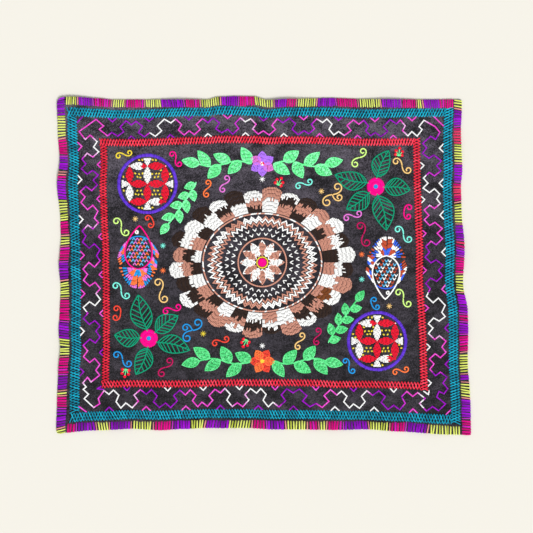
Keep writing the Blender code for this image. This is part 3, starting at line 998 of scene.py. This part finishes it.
rosette = {
    "petals": 12,
    "veeRings": ((42.5, 26, 0), (49.5, 30, .5)),           # radius, how many, first one's place
    "teeth": 48, "toothHeight": 5.6, "toothRun": 6,        # teeth of one colour side by side
    "zigzags": ((57.5, ("salmon", "salmon", "white")), (62.5, ("white", "white", "salmon")),
                (66, ("white", "salmon"))),
    "stretch": .25,            # how much longer than high its outer rounds are
    "stretchFrom": 36, "stretchTo": 80,
    "feathers": 28, "columns": 13, "featherStart": 75, "featherEnd": 112.5,
    "tipRound": 5.5,           # how far a feather's outer columns end short of its tip
    "patterns": (
        ("umber", "white"), ("white", "salmon"), ("umber", "salmon", "white"), ("white", "umber"),
        ("salmon", "brown", "white"), ("umber", "white", "salmon"), ("salmon", "white", "umber"),
        ("white", "umber", "salmon"), ("salmon", "umber", "white"), ("umber", "salmon", "umber")),
}


def oval(radius, angle):
    # a place on the rosette's rounds, which turn from circles to ovals outwards
    look = rosette
    radius = np.asarray(radius, float)
    share = (radius - look["stretchFrom"]) / (look["stretchTo"] - look["stretchFrom"])
    share = np.clip(share, 0, 1)
    return polar(radius, angle) * np.stack((1 + look["stretch"] * share, np.ones_like(share)), axis=-1)


def sewRosette(work):
    look = rosette
    full = np.linspace(0, 2 * np.pi, 241)
    sewRound(work, (0, 0), 0, 6.5, ("magenta",))
    sewLine(work, polar(8.2, full[::6]), ("yellow",), 1.9)
    for k in range(look["petals"]):
        turn = k * 360 / look["petals"]
        sewLeaf(work, polar(10.5, math.radians(turn)), turn, 22, 5.6, (("white", "salmon")[k % 2],),
                ("white", "salmon"))
    sewLine(work, polar(36, full[::2]), ("salmon",), 2.2)
    for radius, count, shift in look["veeRings"]:
        for angle in (np.arange(count) + shift) / count * 2 * np.pi:
            for side in (1, -1):
                work.sew(oval(radius - 2.2, angle), oval(radius + 1.8, angle + side * 2.6 / radius),
                         "white", 1.7)
    corner = np.arange(2 * look["teeth"] + 1)
    for radius, shades in look["zigzags"]:
        corners = oval(radius + look["toothHeight"] * (corner % 2 - .5), corner / corner[-1] * 2 * np.pi)
        for k, ends in enumerate(zip(corners, corners[1:])):
            sewLine(work, ends, (shades[k // look["toothRun"] % len(shades)],), 2.1, 5.4, 4)
    sewLine(work, oval(73, full), ("salmon", "salmon", "white"), 2.2)
    sewFeathers(work)


def sewFeathers(work):
    look, used = rosette, []
    pitch = 2 * np.pi / look["feathers"]
    for feather in range(look["feathers"]):
        # no neighbours with the same colour at their roots or their tips
        fitting = [p for p in look["patterns"]
                   if not used or p[0] != used[-1][0] and p[-1] != used[-1][-1]]
        if feather == look["feathers"] - 1:
            fitting = [p for p in fitting if p[0] != used[0][0] and p[-1] != used[0][-1]] or fitting
        pattern = fitting[rng.integers(len(fitting))]
        used.append(pattern)
        tip = look["featherEnd"] - 4 * (feather % 2) + rng.uniform(-1.5, 1.5)
        borders = np.arange(1, len(pattern)) / len(pattern) + rng.uniform(-.08, .08)
        for column in range(look["columns"]):
            across = (column + .5) / look["columns"] * 2 - 1
            angle = (feather + (across + 1) / 2) * pitch
            outer = tip - look["tipRound"] * abs(across) ** 2.2 + rng.uniform(-.6, .6)
            shift = rng.uniform(-.06, .06)
            spacing = pitch / look["columns"] * (1 + look["stretch"] * abs(math.sin(angle)))
            start = look["featherStart"]
            sewRow(work, oval(start, angle), oval(outer, angle),
                   lambda share: pattern[int(np.searchsorted(borders, share + shift))],
                   (start * spacing * 1.04, outer * spacing), 6)


# each of these is sewn twice, the second time turned half round the middle
garland = {"from": 17, "to": 94, "height": 147, "wave": 4, "waveLength": 12.5, "leafStep": 15.4}
# root, heading, length, bend, how many leaves, length of a leaf
spray = (-97, 121, 240, 77, -8, 8, 17.6)
# root, angle, length and half width of the leaves in outline
openLeaves = ((171, 128, 66, 42, 13), (183, 112, -6, 37, 13), (172, 99, -76, 52, 15.5),
              (155, 119, 166, 48, 13.5), (158, 103, 216, 40, 13))


def sewLeaves(work):
    for turn, greens in field["greens"].items():
        for way in (1, -1):
            sewGarland(work, turn, way, greens)
        sewSpray(work, turn, greens)
        for x, y, angle, length, half in openLeaves:
            sewOpenLeaf(work, turned((x, y), turn), angle + turn, length, half)


def sewGarland(work, turn, way, greens):
    # leaves on either side of a waving stem, above or below the round
    look = garland
    x = np.linspace(look["from"], look["to"], 60)
    y = look["height"] + look["wave"] * np.sin((x - look["from"]) / look["waveLength"])
    stem = turned(np.stack((way * x, y), axis=1), turn)
    sewLine(work, stem, greens, 2.1, lean=.38)
    places = alongPath(stem, look["leafStep"])
    for k, (place, ahead) in enumerate(zip(places, np.diff(places, axis=0))):
        side = 1 if k % 2 else -1
        sewLeaf(work, place, headingOf(ahead) + side * rng.uniform(38, 48), rng.uniform(25, 29),
                rng.uniform(7.1, 8.2), greens)
    sewLeaf(work, places[-1], headingOf(places[-1] - places[-2]), 26, 7, greens)


def sewSpray(work, turn, greens):
    x, y, heading, length, bend, leaves, size = spray
    headings = np.radians(heading + turn + bend * np.linspace(0, 1, 30))
    stem = turned((x, y), turn) + np.cumsum(polar(length / 30, headings), axis=0)
    sewLine(work, stem, greens, 2.1, lean=.38)
    for k in range(leaves):
        at, last = (k + .4) / leaves * 29, k == leaves - 1
        lean = 0 if last else (1 if k % 2 else -1) * rng.uniform(38, 50)
        sewLeaf(work, stem[-1 if last else int(at)], heading + turn + bend * at / 29 + lean,
                size * rng.uniform(.94, 1.1), size * .31, greens)


discs = {"places": ((-171, 117, 45), (171, -117, 45)), "cell": 26.5, "petal": 5.7, "ring": 4.7,
         "knot": 5.1}


def sewDiscs(work):
    # a ring round a lattice of petals, small knots on the cloth between them
    cell, knot = discs["cell"], discs["knot"]
    for x, y, radius in discs["places"]:
        place, inner = np.array((x, y)), radius - discs["ring"] - 1
        sewRound(work, place, radius - discs["ring"], radius, ("violet", "violet", "deepViolet"), 2.0)
        for i, j in np.ndindex(3, 3):
            corner = np.array((i - 1, j - 1))
            for k, heading in enumerate(np.array(((1, 0), (0, 1), (-1, 0), (0, -1)))):
                if k > 1 and heading @ corner < .5:
                    continue
                shares = np.linspace(0, 1, 27)
                spots = (corner + heading * shares[:, None]) * cell
                reach = shares[np.hypot(*spots.T) < inner][-1] * cell
                first = ("red", "white", "red", "white", "red")[(i + 2 * j - 3 + k) % 5]
                sewPetal(work, place + corner * cell, k * 90, cell, reach, discs["petal"],
                         (first, first if k % 2 else "red"))
        for spot in np.mgrid[-10:11, -10:11].reshape(2, -1).T * knot:
            spot = spot + (spot[::-1] / knot % 2) * (knot / 2, 0) + rng.uniform(-.7, .7, 2)
            offset = np.sort(np.abs((spot + cell / 2) % cell - cell / 2))
            clear = discs["petal"] * math.sin(np.pi * offset[1] / cell) ** .8 + 1.3
            if offset[0] > clear and np.hypot(*spot) < inner - 1.5:
                half = polar(1.4, rng.uniform(0, np.pi))
                work.sew(place + spot - half, place + spot + half, "yellow", 2.7, 1.2)


def sewPetal(work, root, angle, length, reach, half, pair):
    # a petal pinched at both ends, cut off at its reach, its colour changing two thirds along
    at = np.linspace(0, length, 40)
    width = half * np.sin(np.pi * at / length) ** .8
    for row in rowsOver(half):
        inside = at[(width >= abs(row) * half) & (at <= reach)]
        if len(inside) > 2:
            start, end = inside[0], inside[-1]
            sewRow(work, *turned(((start, row * half), (end, row * half)), angle, root),
                   lambda share: pair[0 if start + share * (end - start) < .64 * length else 1], 1.75, 6)


fish = {"size": 1.2, "start": -26, "length": 54, "half": 17, "scaleStep": (4.4, 4.2),
        # fins: from and to along the body, and the side they are on
        "fins": ((-14, 8, 1), (-4, 8, -1), (-20, -10, -1))}


def sewFish(work, place, angle, body, fins, scales):
    # outline, scales, a fan of a tail and three fins
    def at(points):
        return turned(np.asarray(points, float) * fish["size"], angle, place)

    s = np.linspace(0, 1, 40)
    run, half = fish["start"] + fish["length"] * s, fish["half"] * np.sin(np.pi * s ** .72) ** .8
    for side in (1, -1):
        sewLine(work, at(np.stack((run, side * half), axis=1)), (body,), 2.2)
    wide, high = fish["scaleStep"]
    for column in range(8):
        x = -20 + column * wide
        reach = np.interp(x, run, half) - 3
        rows = int(reach // high) + 1
        for row in range(-rows, rows + 1):
            y = row * high + (high / 2 if column % 2 else 0)
            if abs(y) < reach:
                for way in (1, -1):
                    work.sew(at((x + 2.2, y)), at((x - 1.2, y + way * 2)),
                             scales[(column + row) % len(scales)], 1.7)
    turn = np.linspace(-1.1, 1.1, 9)
    sewLine(work, at(np.stack((8 + 7 * np.cos(turn), 12.5 * np.sin(turn)), axis=1)), (fins[0],))
    sewRound(work, at((20, 3)), 0, 3, ("white",), 1.5)
    work.sew(at((19.4, 3)), at((20.8, 3)), "umber", 1.8, 1.1, 1.7)
    for way in (1, -1):
        for k in range(11):
            root, tip = (-25, way * (.6 + k * .32)), (-50 + .25 * k * k, way * (2 + k * 2.2))
            sewRow(work, at(root), at(tip),
                   lambda share: fins[(k // 4 + int(share * 2.4)) % len(fins)], 2.9, 7)
    for start, end, way in fish["fins"]:
        for k in range(9):
            x = start + (end - start) * k / 8
            y = np.interp(x, run, half)
            sewRow(work, at((x, way * (y + .8))), at((x - 7, way * (y + 9 - .4 * abs(k - 3)))),
                   lambda share: fins[(k // 3 + int(share * 1.9)) % len(fins)], 2.7, 7)


def sewFlower(work, place, shades, heart, start):
    for k in range(6):
        angle = start + k * 60
        sewLeaf(work, polar(3.2, math.radians(angle), place), angle, 15, 6.4,
                (shades[k % len(shades)],))
    sewRound(work, place, 0, 3.6, heart, 1.6)


def sewMotifs(work):
    sewDiscs(work)
    sewFish(work, (-184, 21), 88, "magenta", ("blue", "orange", "pink"), ("orange", "pink", "sky"))
    sewFish(work, (184, -21), -92, "white", ("royal", "rust", "white"), ("sky", "white", "rust"))
    for place in ((169, 113), (-169, -113)):
        for inner, outer, shade, spacing in ((7.5, 13.5, "magenta", 1.7), (3, 8.2, "magenta", 1.7),
                                             (0, 3.4, "blue", 1.6)):
            sewRound(work, place, inner, outer, (shade,), spacing)
    sewFlower(work, (0, 147), ("lilac", "lilac", "pink"), ("white", "red"), 30)
    sewFlower(work, (0, -147), ("orange", "coral"), ("yellow",), 0)


# scrolls, each sewn twice as above: place, angle, how far across, turn of the ends, kind, shades
scrolls = (
    (-210, 53, 84, 30, 6.6, "S", "lime", "lime"), (-163, 63, 112, 22, 6.2, "C", "coral", "blue"),
    (-210, -42, 92, 30, 6.8, "S", "aqua", "aqua"), (-150.5, -42, 64, 36, 6.8, "S", "gold", "crimson"),
    (-206, 161, -30, 22, 6, "S", "yellow", "orange"), (-129, 154, 80, 24, 6.4, "S", "magenta", "blue"),
    (-134.5, -69.5, -26, 26, 6.4, "S", "magenta", "pink"), (-104, -101, 8, 38, 6.8, "Y", "blue", "gold"),
    (-211, -76, 84, 26, 6.6, "C", "coral", "magenta"), (-144, -156, 12, 30, 6.6, "S", "crimson", "lime"),
    (-208, -144, 98, 30, 6.6, "S", "blue", "gold"), (-56, 117, 24, 24, 6.2, "S", "pink", "gold"),
    (62, 117, -24, 24, 6.2, "S", "aqua", "coral"), (-82, 110, 36, 24, 6.4, "S", "orange", "crimson"),
)
# a scroll's curls: angle, way they bend, size. They bend opposite ways (C), the same way (S), or
# have a third beside them (Y)
curls = {"S": ((0, 1, 1), (180, 1, 1)), "C": ((0, 1, 1), (180, -1, 1)),
         "Y": ((0, 1, 1), (180, 1, 1), (104, 1, .8))}
stars = ((-189, 65, "gold", "gold"), (-148, 25, "aqua", "aqua"), (-148, -12, "orange", "orange"),
         (0, 124, "white", "white"), (88, 106, "gold", "yellow"))
# the foot of the stalk and its angle, and each stalk's lean and length
berries = ((-203, -158.5, 262), (23, 115, 62))
stalks = ((-72, 5), (-34, 8.5), (0, 11.5), (34, 8.5), (72, 5))


def sewScroll(work, place, angle, across, turn, kind, shade):
    arm = np.cumsum(polar(1, turn * np.linspace(0, 1, 40) ** 1.8), axis=0)
    arm *= across * field["scrollReach"] / 40
    for lean, way, size in curls[kind]:
        sewLine(work, turned(arm * (size, way * size), angle + lean, place), (shade,), 2.1, 3.6, 2.2)


def sewScrolls(work):
    for k, turn in enumerate((0, 180)):
        for x, y, angle, across, curl, kind, *shades in scrolls:
            sewScroll(work, turned((x, y), turn), angle + turn, across, curl, kind, shades[k])
        for x, y, *shades in stars:
            place = turned((x, y), turn)
            for angle in np.arange(4) * np.pi / 4 + .2:
                work.sew(place - polar(4.4, angle), place + polar(4.4, angle), shades[k], 1.1)
        for x, y, angle in berries:
            place = turned((x, y), turn)
            for lean, reach in stalks:
                tip = polar(reach, math.radians(angle + lean + turn), place)
                work.sew(place, tip, "leaf", 1.3)
                sewRound(work, tip, 0, 2.3, ("red",), 1.5)


def makeField(name, sewAll):
    work = Needlework(name, field["shades"], field["sides"], field["middle"])
    sewAll(work)
    return work.piece(fieldThread)


# Floor, light and camera

studio = {
    "floorColour": (216, 213, 204), "floorSize": 8, "floorDrop": .0006,
    "focal": 85, "viewWidth": 533, "viewMiddle": (266.5, 266.5),    # the view in the photo's pixels
    "sunStrength": 3.1, "sunSoftness": 24, "sunTurn": (38, 0, 28), "fill": .58,
}


def makeStudio():
    look = studio
    bpy.ops.object.select_all(action="DESELECT")
    bpy.ops.mesh.primitive_plane_add(size=look["floorSize"], location=(0, 0, -look["floorDrop"]))
    floor = bpy.context.object
    floor.name = "floor"
    board = Finish("paleBoard", Roughness=.9, Specular_IOR_Level=.1,
                   Base_Color=linear(*look["floorColour"]))
    floor.data.materials.append(board.material)
    bpy.ops.object.light_add(type="SUN", rotation=[math.radians(a) for a in look["sunTurn"]])
    sun = bpy.context.object.data
    sun.energy, sun.angle = look["sunStrength"], math.radians(look["sunSoftness"])
    world = bpy.data.worlds.new("studio")
    world.use_nodes = True
    background = world.node_tree.nodes["Background"].inputs
    background["Color"].default_value = (1, 1, 1, 1)
    background["Strength"].default_value = look["fill"]
    bpy.context.scene.world = world
    x, y = fromPhoto(*look["viewMiddle"])
    bpy.ops.object.camera_add(rotation=(0, 0, 0))
    camera = bpy.context.object
    camera.data.lens = look["focal"]
    height = look["viewWidth"] * photo["scale"] * look["focal"] / camera.data.sensor_width
    camera.location = (x * mm, y * mm, height * mm)
    bpy.context.scene.camera = camera
    bpy.context.scene.view_settings.view_transform = "Standard"
    print("studio ready")


makeStudio()
ground = makeGroundCloth()
stitched = [makeEdging(), makeBand("outer"), makeBand("inner"), makeSteppedLine()]
fieldThread = threadFinish("fieldThread", field["shades"])
stitched += [makeField(name + "Stitches", sewAll) for name, sewAll in
             (("rosette", sewRosette), ("leaf", sewLeaves), ("motif", sewMotifs), ("scroll", sewScrolls))]
